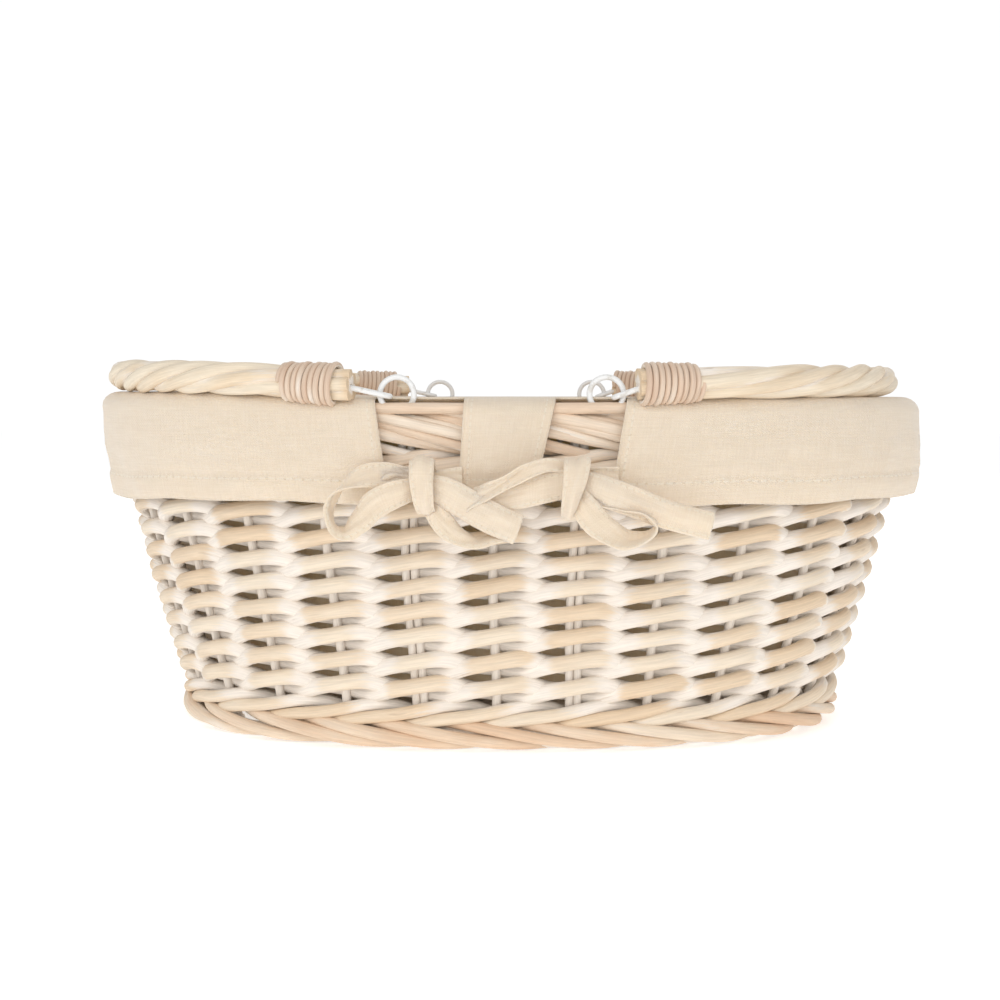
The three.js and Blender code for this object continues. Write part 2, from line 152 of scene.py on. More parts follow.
def rods(name, runs, ring=10, closed=False):
    """One piece from many rods, each with its own points, ways out, radii, bare wood and tone."""
    curve = bpy.data.curves.new(name, "CURVE")
    curve.dimensions = "3D"
    curve.bevel_depth = 1.0
    curve.bevel_resolution = (ring - 4) // 2
    curve.twist_mode = "MINIMUM"
    for run in runs:
        spline = curve.splines.new("POLY")
        count = len(run["points"])
        spline.points.add(count - 1)
        spline.points.foreach_set("co", np.c_[run["points"], np.ones(count)].ravel())
        spline.points.foreach_set("radius", run["radii"])
        spline.use_cyclic_u = closed
    piece = bpy.data.objects.new(name, curve)
    bpy.context.collection.objects.link(piece)
    only(piece)
    bpy.ops.object.convert(target="MESH")
    piece = bpy.context.object
    mesh = piece.data
    place = np.empty(len(mesh.vertices) * 3)
    mesh.vertices.foreach_get("co", place)
    place = place.reshape(-1, 3)
    middles = np.repeat(np.concatenate([r["points"] for r in runs]), ring, axis=0)
    ways_out = np.repeat(np.concatenate([r["out"] for r in runs]), ring, axis=0)
    radii = np.repeat(np.concatenate([r["radii"] for r in runs]), ring)
    bare = np.repeat(np.concatenate([r["bare"] for r in runs]), ring)
    tone = np.repeat(np.concatenate([r["tone"] for r in runs]), ring)
    along = []
    for number, run in enumerate(runs):
        steps = np.linalg.norm(np.diff(run["points"], axis=0), axis=1)
        along.append(np.concatenate([[0.0], np.cumsum(steps)]) + 0.731 * number)
    along = np.repeat(np.concatenate(along), ring)
    facing = ((place - middles) * ways_out).sum(1) / radii
    turn = np.tile(np.arange(ring) * 2 * math.pi / ring, len(middles) // ring)
    grain = np.stack([along, radii * np.cos(turn), radii * np.sin(turn)], -1)
    mesh.attributes.new("grain", "FLOAT_VECTOR", "POINT").data.foreach_set("vector", grain.ravel())
    bare = bare * np.clip(0.55 + 0.75 * facing, 0.0, 1.0)
    mesh.attributes.new("bare", "FLOAT", "POINT").data.foreach_set("value", bare)
    mesh.attributes.new("tone", "FLOAT", "POINT").data.foreach_set("value", tone)
    if not closed:
        bpy.ops.object.mode_set(mode="EDIT")
        bpy.ops.mesh.select_all(action="SELECT")
        bpy.ops.mesh.fill_holes(sides=ring)
        bpy.ops.object.mode_set(mode="OBJECT")
    bpy.ops.object.shade_smooth_by_angle(angle=math.radians(50))
    return piece


def settle(piece, material, slot, body, *nodes):
    """Gives a piece its material, hides the nodes it stands for, and parents it to the empty of the body
    that carries it.
    """
    piece.data.materials.append(material)
    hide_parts(*nodes)
    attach(piece, body)


def ripple(places):
    """Smooth noise, from about -1 to 1, at each of the places."""
    return np.array([noise.noise(Vector(place)) for place in places])


def wander(share, seed, turns=3.0):
    """A smooth value from about -1 to 1 that closes on itself round the basket."""
    angle = 2 * math.pi * share
    return ripple((turns * math.cos(a), turns * math.sin(a), seed) for a in angle)


def socket_group(name, inputs, outputs):
    group = bpy.data.node_groups.new(name, "ShaderNodeTree")
    for label, kind, value in inputs:
        socket = group.interface.new_socket(label, in_out="INPUT", socket_type=kind)
        if value is not None:
            socket.default_value = value
    for label, kind in outputs:
        group.interface.new_socket(label, in_out="OUTPUT", socket_type=kind)
    return group, group.nodes.new("NodeGroupInput"), group.nodes.new("NodeGroupOutput")


def add_node(tree, kind, links=None, **settings):
    """Adds a node. Links maps an input's name or number to a socket or a plain value."""
    node = tree.nodes.new(kind)
    for label, value in settings.items():
        setattr(node, label, value)
    for label, value in (links or {}).items():
        if isinstance(value, bpy.types.NodeSocket):
            tree.links.new(value, node.inputs[label])
        else:
            node.inputs[label].default_value = value
    return node


def ramp(tree, factor, low, high):
    """A smooth step from 0 at low to 1 at high."""
    limits = {"Value": factor, "From Min": low, "From Max": high}
    return add_node(tree, "ShaderNodeMapRange", limits, interpolation_type="SMOOTHSTEP").outputs[0]


def between(tree, factor, low, high):
    """A value that goes from low to high as the factor goes from 0 to 1."""
    return add_node(
        tree, "ShaderNodeMapRange", {"Value": factor, "To Min": low, "To Max": high}
    ).outputs["Result"]


def maths(tree, kind, *values):
    return add_node(tree, "ShaderNodeMath", dict(enumerate(values)), operation=kind).outputs[0]


def mixed(tree, factor, first, second):
    """The first colour at factor 0, and the second at 1."""
    colours = {"Factor": factor, 6: first, 7: second}
    return add_node(tree, "ShaderNodeMix", colours, data_type="RGBA").outputs[2]


def cloud(tree, place, scale=1.0, detail=2.0, stretch=None):
    """Noise at a place, which is first stretched by an amount for each axis if one is given."""
    if stretch:
        stretched = {0: place, 1: stretch}
        place = add_node(tree, "ShaderNodeVectorMath", stretched, operation="MULTIPLY").outputs["Vector"]
    settings = {"Vector": place, "Scale": scale, "Detail": detail}
    return add_node(tree, "ShaderNodeTexNoise", settings).outputs["Fac"]


def new_material(name):
    material = bpy.data.materials.new(name)
    material.use_nodes = True
    tree = material.node_tree
    return material, tree, tree.nodes["Principled BSDF"]


def willow_group():
    """Whitewash worn off the proud faces of a willow rod, with fibres that run along it."""
    group, given, result = socket_group(
        "whitewashed_willow",
        [
            ("Bare", "NodeSocketFloat", 0.5),
            ("Tone", "NodeSocketFloat", 0.5),
            ("Grain", "NodeSocketVector", None),
            ("Wash", "NodeSocketColor", (0.925, 0.85, 0.765, 1)),
            ("Pale Wood", "NodeSocketColor", (0.87, 0.755, 0.605, 1)),
            ("Deep Wood", "NodeSocketColor", (0.81, 0.635, 0.45, 1)),
        ],
        [("Color", "NodeSocketColor"), ("Roughness", "NodeSocketFloat"), ("Height", "NodeSocketFloat")],
    )
    grain = given.outputs["Grain"]
    fibres = cloud(group, grain, 1.0, 5.0, (60, 1300, 1300))
    blots = cloud(group, grain, 1.0, 3.0, (55, 190, 190))
    knots = cloud(group, grain, 1.0, 2.0, (48, 330, 330))
    ragged = maths(group, "ADD", fibres, blots)
    worn = ramp(group, maths(group, "MULTIPLY_ADD", ragged, 0.62, given.outputs["Bare"]), 0.90, 1.28)
    depth = ramp(group, maths(group, "MULTIPLY_ADD", blots, 0.7, given.outputs["Tone"]), 0.45, 1.25)
    wood = mixed(group, depth, given.outputs["Pale Wood"], given.outputs["Deep Wood"])
    washed = mixed(group, worn, given.outputs["Wash"], wood)
    fleck = maths(group, "MULTIPLY", ramp(group, knots, 0.70, 0.78), 0.35)
    flecked = mixed(group, fleck, washed, (0.47, 0.33, 0.22, 1))
    shade = between(group, ramp(group, fibres, 0.3, 0.7), 0.90, 1.03)
    shaded = add_node(group, "ShaderNodeVectorMath", {0: flecked, "Scale": shade}, operation="SCALE")
    group.links.new(shaded.outputs["Vector"], result.inputs["Color"])
    group.links.new(between(group, worn, 0.82, 0.55), result.inputs["Roughness"])
    group.links.new(maths(group, "MULTIPLY_ADD", blots, 0.6, fibres), result.inputs["Height"])
    return group


whitewashed_willow = willow_group()


def willow(name, pale=None, deep=None, relief=0.0003):
    """A willow finish with its own wood colours."""
    material, tree, shader = new_material(name)
    coat = add_node(tree, "ShaderNodeGroup", node_tree=whitewashed_willow)
    for label, output in (("Bare", "Fac"), ("Tone", "Fac"), ("Grain", "Vector")):
        read = add_node(tree, "ShaderNodeAttribute", attribute_name=label.lower())
        tree.links.new(read.outputs[output], coat.inputs[label])
    for label, value in (("Pale Wood", pale), ("Deep Wood", deep)):
        if value:
            coat.inputs[label].default_value = (*value, 1)
    bump = add_node(tree, "ShaderNodeBump", {"Height": coat.outputs["Height"], "Distance": relief})
    tree.links.new(coat.outputs["Color"], shader.inputs["Base Color"])
    tree.links.new(coat.outputs["Roughness"], shader.inputs["Roughness"])
    tree.links.new(bump.outputs["Normal"], shader.inputs["Normal"])
    shader.inputs["Specular IOR Level"].default_value = 0.3
    return material


willow_inside = willow("willow_base_finish")


def base_ring(number, weaver):
    half_length = BASE_HALF_LENGTH - BASE_RING_PITCH * number
    half_width = BASE_HALF_WIDTH - BASE_RING_PITCH * number
    crossings = 2 * max(4, round(13 * (half_length + half_width) / 0.251))
    share = np.arange(crossings * 8) / (crossings * 8)
    points, out = oval(half_length, half_width, share)
    phase = math.pi * (share * crossings + weaver)
    points = points + out * (0.0021 * np.sin(phase))[:, None]
    points[:, 2] = BASE_MIDDLE_HEIGHT + 0.0032 * np.cos(phase)
    rough = wander(share, 3.1 * number + weaver)
    radii = BASE_ROD_RADIUS * (1 + 0.08 * rough)
    return rod(points, (0.0, 0.0, -1.0), radii, 0.5 - 0.3 * np.cos(phase), 0.3 + 0.5 * rough)


base_weave = rods(
    "base_woven_rods",
    [base_ring(number, weaver) for number in range(BASE_RINGS) for weaver in (0, 1)],
    ring=8,
    closed=True,
)
settle(base_weave, willow_inside, "willow", "basket", "base_weave")


def straight_stick(name, start, end, node):
    step = np.linspace(0, 1, 24)[:, None]
    points = np.array(start) * (1 - step) + np.array(end) * step
    rough = ripple((40 * p[0] + 7, 40 * p[1], 3) for p in points)
    stick = rod(points, (0.0, 0.0, -1.0), STICK_RADIUS * (1 + 0.1 * rough), 0.45, 0.3)
    settle(rods(name, [stick]), willow_inside, "peeled_willow", "basket", node)


for number in (1, 2, 3):
    for kind, axis in (("long", 0), ("cross", 1)):
        node = f"base_{kind}_stick_{number}"
        low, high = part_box(node)
        start = [(low[k] + high[k]) / 2 for k in range(3)]
        end = list(start)
        start[axis] = low[axis]
        end[axis] = high[axis]
        start[2] = end[2] = BASE_MIDDLE_HEIGHT + (0.0007 if kind == "long" else -0.0007)
        straight_stick(f"base_{kind}_rod_{number}", start, end, node)

# ---- Stakes ----
# Twenty-six upright rods lean outwards from the base edge to the rim. The weave goes in front of and
# behind each one. A second rod stands beside four of them, where the handles pull on the rim.
STAKES = 26
STAKE_SHIFT = -0.108
WALL_MIDDLE = -0.0085


def lean(height):
    return 0.345 * height - 0.515 * height * height


def on_wall(share, out, height):
    """Points at an offset out from the wall's face, at shares round the basket and at heights."""
    share, out, height = np.broadcast_arrays(
        np.asarray(share, float), np.asarray(out, float), np.asarray(height, float)
    )
    points, ways_out = oval(FOOT_HALF_LENGTH, FOOT_HALF_WIDTH, share)
    points = points + ways_out * (out + lean(height))[..., None]
    points[..., 2] = height
    return points, ways_out


willow_stake = willow("willow_stake_finish", pale=(0.86, 0.79, 0.70), deep=(0.80, 0.68, 0.52))
DOUBLED = (1, 12, 14, 25)
STAKE_RADIUS = 0.0022
DOUBLED_RADIUS = 0.00195
for stake in range(STAKES):
    height = np.linspace(0.0055, 0.161, 34)
    runs = []
    doubled = stake in DOUBLED
    for beside in (-0.0022, 0.0022) if doubled else (0.0,):
        share = (stake + STAKE_SHIFT) / STAKES + beside / 1.08
        sway = 0.0006 * np.sin(height * 60 + stake)
        points, out = on_wall(share + sway / 1.08, WALL_MIDDLE, height)
        rough = ripple((z * 45, stake, beside * 900) for z in height)
        radius = DOUBLED_RADIUS if doubled else STAKE_RADIUS
        tone = 0.2 + 0.3 * noise.noise(Vector((stake * 1.7, 0.5, beside * 99)))
        runs.append(rod(points, out, radius * (1 + 0.07 * rough), 0.18 + 0.2 * rough, tone))
    piece = rods(f"stake_rod_{stake + 1:02d}", runs)
    settle(piece, willow_stake, "peeled_willow", "basket", f"stake_{stake + 1:02d}")

# ---- Side weave ----
# Nine rows of pairing make the wall: in each row two rods twist round each other between the
# stakes, so that one of them crosses the front of every stake. Paint is rubbed off the proud faces.
ROWS = 9
FIRST_ROW = 0.0294
ROW_PITCH = 0.0118
WEAVER_RADIUS = 0.00385
STEPS_PER_STAKE = 14


def stake_phase(share):
    return share * STAKES - STAKE_SHIFT


def segment_tone(position, seed):
    """A tone for each crossing of a stake, blended along the rod."""
    number = np.floor(position + 0.5)
    return 0.42 + 0.75 * ripple((k * 3.37 + 0.5, seed * 5.13, 1.7) for k in number)


def row_drift(share, row):
    """Hand-woven rows run a little up and down, and less so near the foot and the rim."""
    shared = wander(share, 4.2, 1.6)
    own = wander(share, 9.0 + row, 2.6)
    held = math.sin(math.pi * (row + 0.8) / (ROWS + 0.6))
    return 0.0026 * held * shared + 0.0010 * own


side_runs = []
for row in range(ROWS):
    for weaver in (0, 1):
        share = 0.5 + np.arange(STAKES * STEPS_PER_STAKE) / (STAKES * STEPS_PER_STAKE)
        position = stake_phase(share) + weaver
        phase = math.pi * position
        own = wander(share, 31.7 * row + 11 * weaver, 5.0)
        out = WALL_MIDDLE + 0.0047 * np.cos(phase) + 0.0005 * own
        twist = 0.0022 * np.sin(phase) + 0.0022 * np.tanh(2.0 * np.cos(phase))
        height = FIRST_ROW + ROW_PITCH * row + row_drift(share, row) + twist
        points, ways_out = on_wall(share, out, height)
        tone = segment_tone(position / 2, row * 2 + weaver)
        radii = WEAVER_RADIUS * (0.95 + 0.06 * own + 0.16 * np.sin(phase) ** 2)
        bare = -0.04 + 0.9 * np.cos(phase - 0.08) + 0.5 * (tone - 0.42) + 0.3 * own
        side_runs.append(rod(points, ways_out, radii, bare, tone))
willow_weave = willow("willow_weave_finish")
side_weave = rods("side_woven_rods", side_runs, ring=12, closed=True)
settle(side_weave, willow_weave, "willow", "basket", "side_weave")

# ---- Lower wale ----
# One row of three-rod wale locks the stakes to the base: each rod crosses the front of two stakes
# and goes behind the third, so that long strokes overlap and rise to the right.


WALE_RADIUS = 0.0031
WALE_RISE = 0.0046


def wale_row(middle_height, seed, bared=0.38):
    runs = []
    for weaver in range(3):
        share = 0.5 + np.linspace(0, 1 + 0.8 / STAKES, (STAKES + 1) * STEPS_PER_STAKE) + weaver / STAKES
        position = stake_phase(share) + 0.5 - weaver + 3
        phase = 2 * math.pi * position / 3
        own = wander(share, seed + 5 * weaver, 4.0)
        out = WALL_MIDDLE + 0.0052 * (0.333 + 1.075 * np.cos(phase) - 0.258 * np.cos(2 * phase))
        height = middle_height + WALE_RISE * (np.sin(phase) - 0.25 * np.sin(2 * phase)) + 0.0006 * own
        points, ways_out = on_wall(share, out, height)
        tone = segment_tone(position / 3, seed + weaver)
        bare = bared + 0.55 * np.cos(phase + 0.2) + 0.4 * (tone - 0.42)
        runs.append(rod(points, ways_out, WALE_RADIUS * (1 + 0.07 * own), bare, tone))
    return runs


lower_wale = rods("lower_wale_rods", wale_row(0.0166, 71), ring=12)
settle(lower_wale, willow_weave, "willow", "basket", "lower_wale")

# ---- Foot border ----
# The stakes' lower ends are bent along the bottom edge, each in front of its next two neighbours,
# so that long strokes fall to the right and carry the basket. Handling keeps them bare of paint.
willow_foot = willow("willow_foot_finish", pale=(0.85, 0.72, 0.57), deep=(0.77, 0.55, 0.38))


def falling_stroke(start, knots, radius, seed, bare):
    """A border rod from a share of the way round. Knots are (stakes along, out, height)."""
    knots = np.array(knots)
    fine = np.linspace(0, 1, 40)
    key = np.linspace(0, 1, len(knots))
    smooth = np.stack([np.interp(fine, key, knots[:, k]) for k in range(3)], -1)
    for _ in range(14):
        smooth[1:-1] = (smooth[:-2] + 2 * smooth[1:-1] + smooth[2:]) / 4
    share = start + smooth[:, 0] / STAKES
    points, ways_out = on_wall(share, smooth[:, 1], smooth[:, 2])
    own = ripple((t * 3, seed, 2.5) for t in fine)
    points[:, 2] += 0.0005 * own
    tone = 0.5 + 0.6 * noise.noise(Vector((seed * 2.3, 1.1, 4.4))) + 0.2 * own
    radii = radius * (1 + 0.06 * own) * np.interp(fine, [0, 0.7, 1], [1.0, 1.0, 0.84])
    return rod(points, ways_out, radii, bare + 0.5 * own + 0.25 * np.sin(math.pi * fine), tone)


foot_knots = [
    (-0.45, -0.0125, 0.0142),
    (-0.10, -0.0060, 0.0138),
    (0.30, -0.0008, 0.0120),
    (0.80, 0.0012, 0.0088),
    (1.30, 0.0012, 0.0056),
    (1.75, -0.0010, 0.0037),
    (2.15, -0.0070, 0.0033),
    (2.45, -0.0115, 0.0038),
]
foot_inner_knots = [(along - 0.35, out - 0.0068, height * 0.9) for along, out, height in foot_knots]
foot_runs = []
for k in range(STAKES):
    uneven = 0.16 * noise.noise(Vector((k * 1.9, 0.4, 7.7)))
    thick = 0.0029 + 0.0005 * noise.noise(Vector((k * 2.7, 3.1, 0.2)))
    start = (k + 0.35 + uneven) / STAKES
    foot_runs.append(falling_stroke(start, foot_knots, thick, 0.77 * k, 0.62))
    foot_runs.append(falling_stroke(start, foot_inner_knots, 0.0027, 0.77 * k + 40, 0.3))
foot_border = rods("foot_border_rods", foot_runs)
settle(foot_border, willow_foot, "willow", "basket", "foot_border")

# ---- Rim: upper wale and rolled border ----
# A row of wale rises to the right under the border. The stakes' upper ends are then rolled outwards
# in threes and fall to the right over three long rods that run round the top.
willow_rim = willow("willow_rim_finish", pale=(0.90, 0.78, 0.64), deep=(0.80, 0.61, 0.45))
LONG_ROD_RADIUS = 0.0026
rim_knots = [
    (-0.8, -0.0135, 0.1480),
    (-0.4, -0.0125, 0.1570),
    (0.0, -0.0080, 0.1612),
    (0.5, -0.0022, 0.1590),
    (1.0, 0.0002, 0.1545),
    (1.6, -0.0005, 0.1490),
    (2.1, -0.0040, 0.1445),
    (2.4, -0.0100, 0.1430),
]
rim_runs = []
for k in range(STAKES):
    for twin, drop, along in ((0, 0.0, 0.0), (1, 0.0050, -0.10), (2, 0.0026, 0.42)):
        knots = [
            (a + along, out - 0.0007 * twin, height - drop * min(1.0, 0.4 + 0.3 * a))
            for a, out, height in rim_knots
        ]
        uneven = 0.22 * noise.noise(Vector((k * 2.3, 5.5 + twin, 1.2)))
        thick = (0.0026, 0.0026, 0.0022)[twin] + 0.0006 * noise.noise(Vector((k * 3.3, 8.1 + twin, 0.6)))
        bared = 0.55 + 0.5 * noise.noise(Vector((k * 1.3, 2.1 + twin, 9.6)))
        start = (k + 0.1 + uneven) / STAKES
        rim_runs.append(falling_stroke(start, knots, thick, 1.31 * k + 17 * twin, bared))
for out, height, seed in ((-0.0018, 0.1618, 5.0), (-0.0105, 0.1622, 8.0), (-0.0070, 0.1555, 11.0)):
    share = 0.5 + np.linspace(0, 1.02, 420)
    own = wander(share, seed, 3.0)
    points, ways_out = on_wall(share, out + 0.0006 * own, height + 0.0007 * wander(share, seed + 1, 4.0))
    radii = LONG_ROD_RADIUS * (1 + 0.08 * own)
    rim_runs.append(rod(points, ways_out, radii, 0.75 + 0.4 * own, 0.6 + 0.5 * own))
rim_runs += wale_row(0.1362, 93, bared=0.62)
rim_border = rods("rim_border_rods", rim_runs)
settle(rim_border, willow_rim, "willow", "basket", "rim_border")

# ---- Handle rings ----
# Four rings of white painted wire are threaded through the border, two at the front and two at the
# back, with their cut ends turned down into the wicker. Each one can turn in its hole.
EYE_WIRE_RADIUS = 0.00125
RING_RADIUS = 0.0076
WIRE_RADIUS = 0.00130


def wire_paint():
    material, tree, shader = new_material("white_wire_paint")
    place = add_node(tree, "ShaderNodeTexCoord").outputs["Object"]
    drips = cloud(tree, place, 900.0, 3.0)
    dulled = ramp(tree, cloud(tree, place, 260.0), 0.52, 0.75)
    paint = mixed(tree, dulled, (0.83, 0.83, 0.82, 1), (0.66, 0.63, 0.58, 1))
    chipped = mixed(tree, ramp(tree, drips, 0.74, 0.78), paint, (0.35, 0.33, 0.31, 1))
    bump = add_node(tree, "ShaderNodeBump", {"Height": drips, "Distance": 0.00008})
    tree.links.new(chipped, shader.inputs["Base Color"])
    tree.links.new(bump.outputs["Normal"], shader.inputs["Normal"])
    shader.inputs["Roughness"].default_value = 0.33
    shader.inputs["Specular IOR Level"].default_value = 0.5
    return material


painted_wire = wire_paint()
ring_middles = {}
for place in ("front_left", "front_right", "back_left", "back_right"):
    low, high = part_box(f"{place}_ring")
    middle = [(low[k] + high[k]) / 2 for k in range(3)]
    ring_middles[place] = middle
    bpy.ops.object.select_all(action="DESELECT")
    bpy.ops.mesh.primitive_torus_add(
        major_segments=72,
        minor_segments=14,
        major_radius=RING_RADIUS,
        minor_radius=WIRE_RADIUS,
        location=middle,
        rotation=(math.pi / 2, 0, 0),
    )
    ring = bpy.context.object
    ring.name = f"{place}_wire_ring"
    # The wire's two ends meet with a small saw cut at the bottom.
    bpy.ops.object.mode_set(mode="EDIT")
    bpy.ops.mesh.select_all(action="DESELECT")
    bpy.ops.object.mode_set(mode="OBJECT")
    for vertex in ring.data.vertices:
        vertex.select = abs(math.atan2(vertex.co.x, -vertex.co.y)) < 0.05
    bpy.ops.object.mode_set(mode="EDIT")
    bpy.ops.transform.resize(value=(0.97, 0.97, 0.8), center_override=middle)
    bpy.ops.object.mode_set(mode="OBJECT")
    bpy.ops.object.transform_apply(location=True, rotation=True, scale=True)
    bpy.ops.object.shade_smooth()
    settle(ring, painted_wire, "painted_wire", f"{place}_ring", f"{place}_ring")

# ---- Handles ----
# Each handle is a hoop of five peeled rods, twisted together and bent to the rim's oval. Split cane
# is wound round each end, and a wire eye driven in between the rods hangs on the ring.
HINGE_X = 0.0467
HINGE_HEIGHT = 0.168
HOOP_HALF_WIDTH = 0.1700
HOOP_HEIGHT = 0.1728
STRAND_RADIUS = 0.0032
STRANDS = 5
BINDING_TURNS = 9.5
CANE_RADIUS = 0.00134
CORE_RADIUS = 0.0022
# The leg's end and the binding's two ends are distances from the middle of the basket.
HAND_SIZES = ("half_length", "tilt", "leg_end", "binding_start", "binding_end", "droop", "twists")
HANDS = {
    "left": dict(zip(HAND_SIZES, (0.2000, 1.8, 0.0670, 0.0735, 0.0980, 0.0014, 2.9))),
    "right": dict(zip(HAND_SIZES, (0.1930, 0.7, 0.0605, 0.0622, 0.0875, 0.0004, 2.3))),
}

willow_handle = willow("willow_handle_finish", pale=(0.86, 0.755, 0.60), deep=(0.79, 0.62, 0.43))
split_cane = willow("split_cane_finish", pale=(0.78, 0.64, 0.51), deep=(0.70, 0.52, 0.39), relief=0.0002)


def hoop_share(half_length, distance):
    """Where the hoop's oval is at a distance from the middle, on its front left quarter."""
    share = np.linspace(0.75, 1.0, 2001)
    points, _ = oval(half_length, HOOP_HALF_WIDTH, share)
    return float(np.interp(distance, -points[::-1, 0], share[::-1]))


def hoop_line(step):
    """The middle of a handle's bundle, from one leg end, 0, to the other, 1."""
    points, _ = oval(half_length, HOOP_HALF_WIDTH, hoop_start + hoop_span * step)
    nearest_end = np.minimum(step, 1 - step)
    away = points[:, 0] + HINGE_X
    rise = HOOP_HEIGHT - HINGE_HEIGHT - droop * np.exp(-((nearest_end / 0.075) ** 2))
    x = away * math.cos(tilt) + rise * math.sin(tilt)
    z = rise * math.cos(tilt) - away * math.sin(tilt)
    return np.stack([x - HINGE_X, points[:, 1], z + HINGE_HEIGHT], -1)


def bundle_frame(step):
    """The hoop's line with two unit ways across it."""
    line = hoop_line(step)
    ahead = hoop_line(np.minimum(step + 1e-3, 1.02))
    behind = hoop_line(np.maximum(step - 1e-3, -0.02))
    along = ahead - behind
    along /= np.linalg.norm(along, axis=1)[:, None]
    side = np.cross(along, (0, 0, 1))
    side /= np.linalg.norm(side, axis=1)[:, None]
    return line, side, np.cross(side, along)


def turned_about(points, turned):
    return points * np.array((-1.0, -1.0, 1.0)) if turned else points


for hand, sizes in HANDS.items():
    half_length, droop, tilt = sizes["half_length"], sizes["droop"], math.radians(sizes["tilt"])
    turned = hand == "right"
    hoop_start = hoop_share(half_length, sizes["leg_end"])
    hoop_span = 1.5 - 2 * hoop_start
    body = f"{hand}_handle"
    step = np.linspace(0, 1, 240)
    line, side, up = bundle_frame(step)
    nearest_end = np.minimum(step, 1 - step)
    strands = []
    for strand in range(STRANDS):
        eased = step - np.sin(4 * math.pi * step) / (4 * math.pi) * 0.55
        turn = 2 * math.pi * (sizes["twists"] * eased + strand / STRANDS) + 0.5
        loose = ripple((s * 7, strand * 3.3, droop * 999) for s in step)
        rough = ripple((s * 22, strand * 5.1, 3.0) for s in step)
        spread = 0.0045 - 0.0004 * np.exp(-((nearest_end / 0.12) ** 2)) + 0.0007 * loose
        points = line + side * (spread * np.cos(turn))[:, None] + up * (spread * np.sin(turn))[:, None]
        out = turned_about((points - line) / spread[:, None], turned)
        cut = np.exp(-((nearest_end / 0.004) ** 2))
        tone = 0.35 + 0.55 * ripple((s * 5, strand * 9.7, 8.0) for s in step)
        radii = STRAND_RADIUS * (1 + 0.09 * rough + 0.05 * math.sin(strand * 2.2))
        bare = 0.72 + 0.55 * loose + 0.4 * cut
        strands.append(rod(turned_about(points, turned), out, radii, bare, tone + 0.5 * cut))
    # A thin core rod fills the middle and stops short of the eyes.
    core = (step > 0.05) & (step < 0.95)
    core_line, core_out = turned_about(line[core], turned), turned_about(up[core], turned)
    strands.append(rod(core_line, core_out, CORE_RADIUS, 0.2, 0.2))
    hoop = rods(f"{hand}_handle_rods", strands, ring=14)
    settle(hoop, willow_handle, "willow", body, f"{hand}_handle_hoop")

    for end in ("front", "back"):
        near = (hoop_share(half_length, sizes["binding_start"]) - hoop_start) / hoop_span
        far = (hoop_share(half_length, sizes["binding_end"]) - hoop_start) / hoop_span
        lap = np.linspace(0, 1, 420)
        step = near + (far - near) * lap
        if end == "back":
            step = 1 - step
        line, side, up = bundle_frame(step)
        turn = 2 * math.pi * BINDING_TURNS * lap * (1 if end == "front" else -1)
        reach = 0.0087 - 0.0012 * lap + 0.0003 * np.sin(turn * 0.37 + droop * 900)
        points = line + side * (reach * np.cos(turn))[:, None] + up * (reach * np.sin(turn))[:, None]
        tucked = np.clip(np.minimum(lap, 1 - lap) / 0.02, 0, 1)
        points = line + (points - line) * (0.86 + 0.14 * tucked)[:, None]
        wavy = ripple((t * 30, droop * 700, len(end)) for t in lap)
        out = turned_about((points - line) / reach[:, None], turned)
        radii = CANE_RADIUS * (1 + 0.12 * wavy)
        cane = rod(turned_about(points, turned), out, radii, 0.85 + 0.6 * wavy, 0.5 + 0.6 * wavy)
        leg = end if not turned else ("back" if end == "front" else "front")
        binding = rods(f"{hand}_handle_{leg}_cane_binding", [cane])
        settle(binding, split_cane, "split_cane", body, f"{hand}_handle_{leg}_binding")

        # The eye's wire comes out of the leg, loops round the ring and goes back in beside itself.
        middle = ring_middles[f"{end}_left"]
        leg_end = hoop_line(np.array([0.016 if end == "front" else 0.984]))[0]
        hang = np.array([-HINGE_X - RING_RADIUS, middle[1], HINGE_HEIGHT])
        toward = leg_end - hang
        toward /= np.linalg.norm(toward)
        across = np.cross(toward, (0, 0, 1))
        across /= np.linalg.norm(across)
        half = 0.0034
        bend = np.linspace(-math.pi / 2, math.pi / 2, 22)
        shank = sizes["leg_end"] - HINGE_X - RING_RADIUS + 0.0035
        outline = [(shank, -0.0011), (0.0105, -0.0011), (0.0080, -0.0020), (0.0050, -half)]
        outline[1] = (min(0.0105, shank - 0.0005), -0.0011)
        outline += [(-0.0012 - half * math.cos(a), half * math.sin(a)) for a in bend]
        outline += [(a, -b) for a, b in outline[3::-1]]
        outline = np.array(outline)
        fine = np.linspace(0, len(outline) - 1, 150)
        knots = np.arange(len(outline))
        loop = np.stack([np.interp(fine, knots, outline[:, k]) for k in (0, 1)], -1)
        for _ in range(12):
            loop[1:-1] = (loop[:-2] + 2 * loop[1:-1] + loop[2:]) / 4
        points = hang + loop[:, :1] * toward + loop[:, 1:] * across
        wire = rod(turned_about(points, turned), (0.0, 0.0, 1.0), EYE_WIRE_RADIUS, 0.0, 0.0)
        eye = rods(f"{hand}_handle_{leg}_wire_eye", [wire], ring=12)
        settle(eye, painted_wire, "painted_wire", body, f"{hand}_handle_{leg}_eye")

# ---- Liner ----
# A bag of plain calico lines the inside. Its top is slit where the handles are: two end flaps and
# two tabs fold over the rim and hang outside it, with a wide stitched hem along each lower edge.
LINER_FLOOR = 0.0212
LINER_WALL = -0.0190
FOLD_OUT = -0.0061
FOLD_REACH = 0.0104
FOLD_HEIGHT = 0.1572
FOLD_RISE = 0.0090
HEM_DEPTH = 0.0115
SIDE_HEM = 0.0045
THREAD_PITCH = 0.00115
STITCH_PITCH = 0.0031
CLOTH_THICKNESS = 0.0008
FLOOR_RINGS = 8
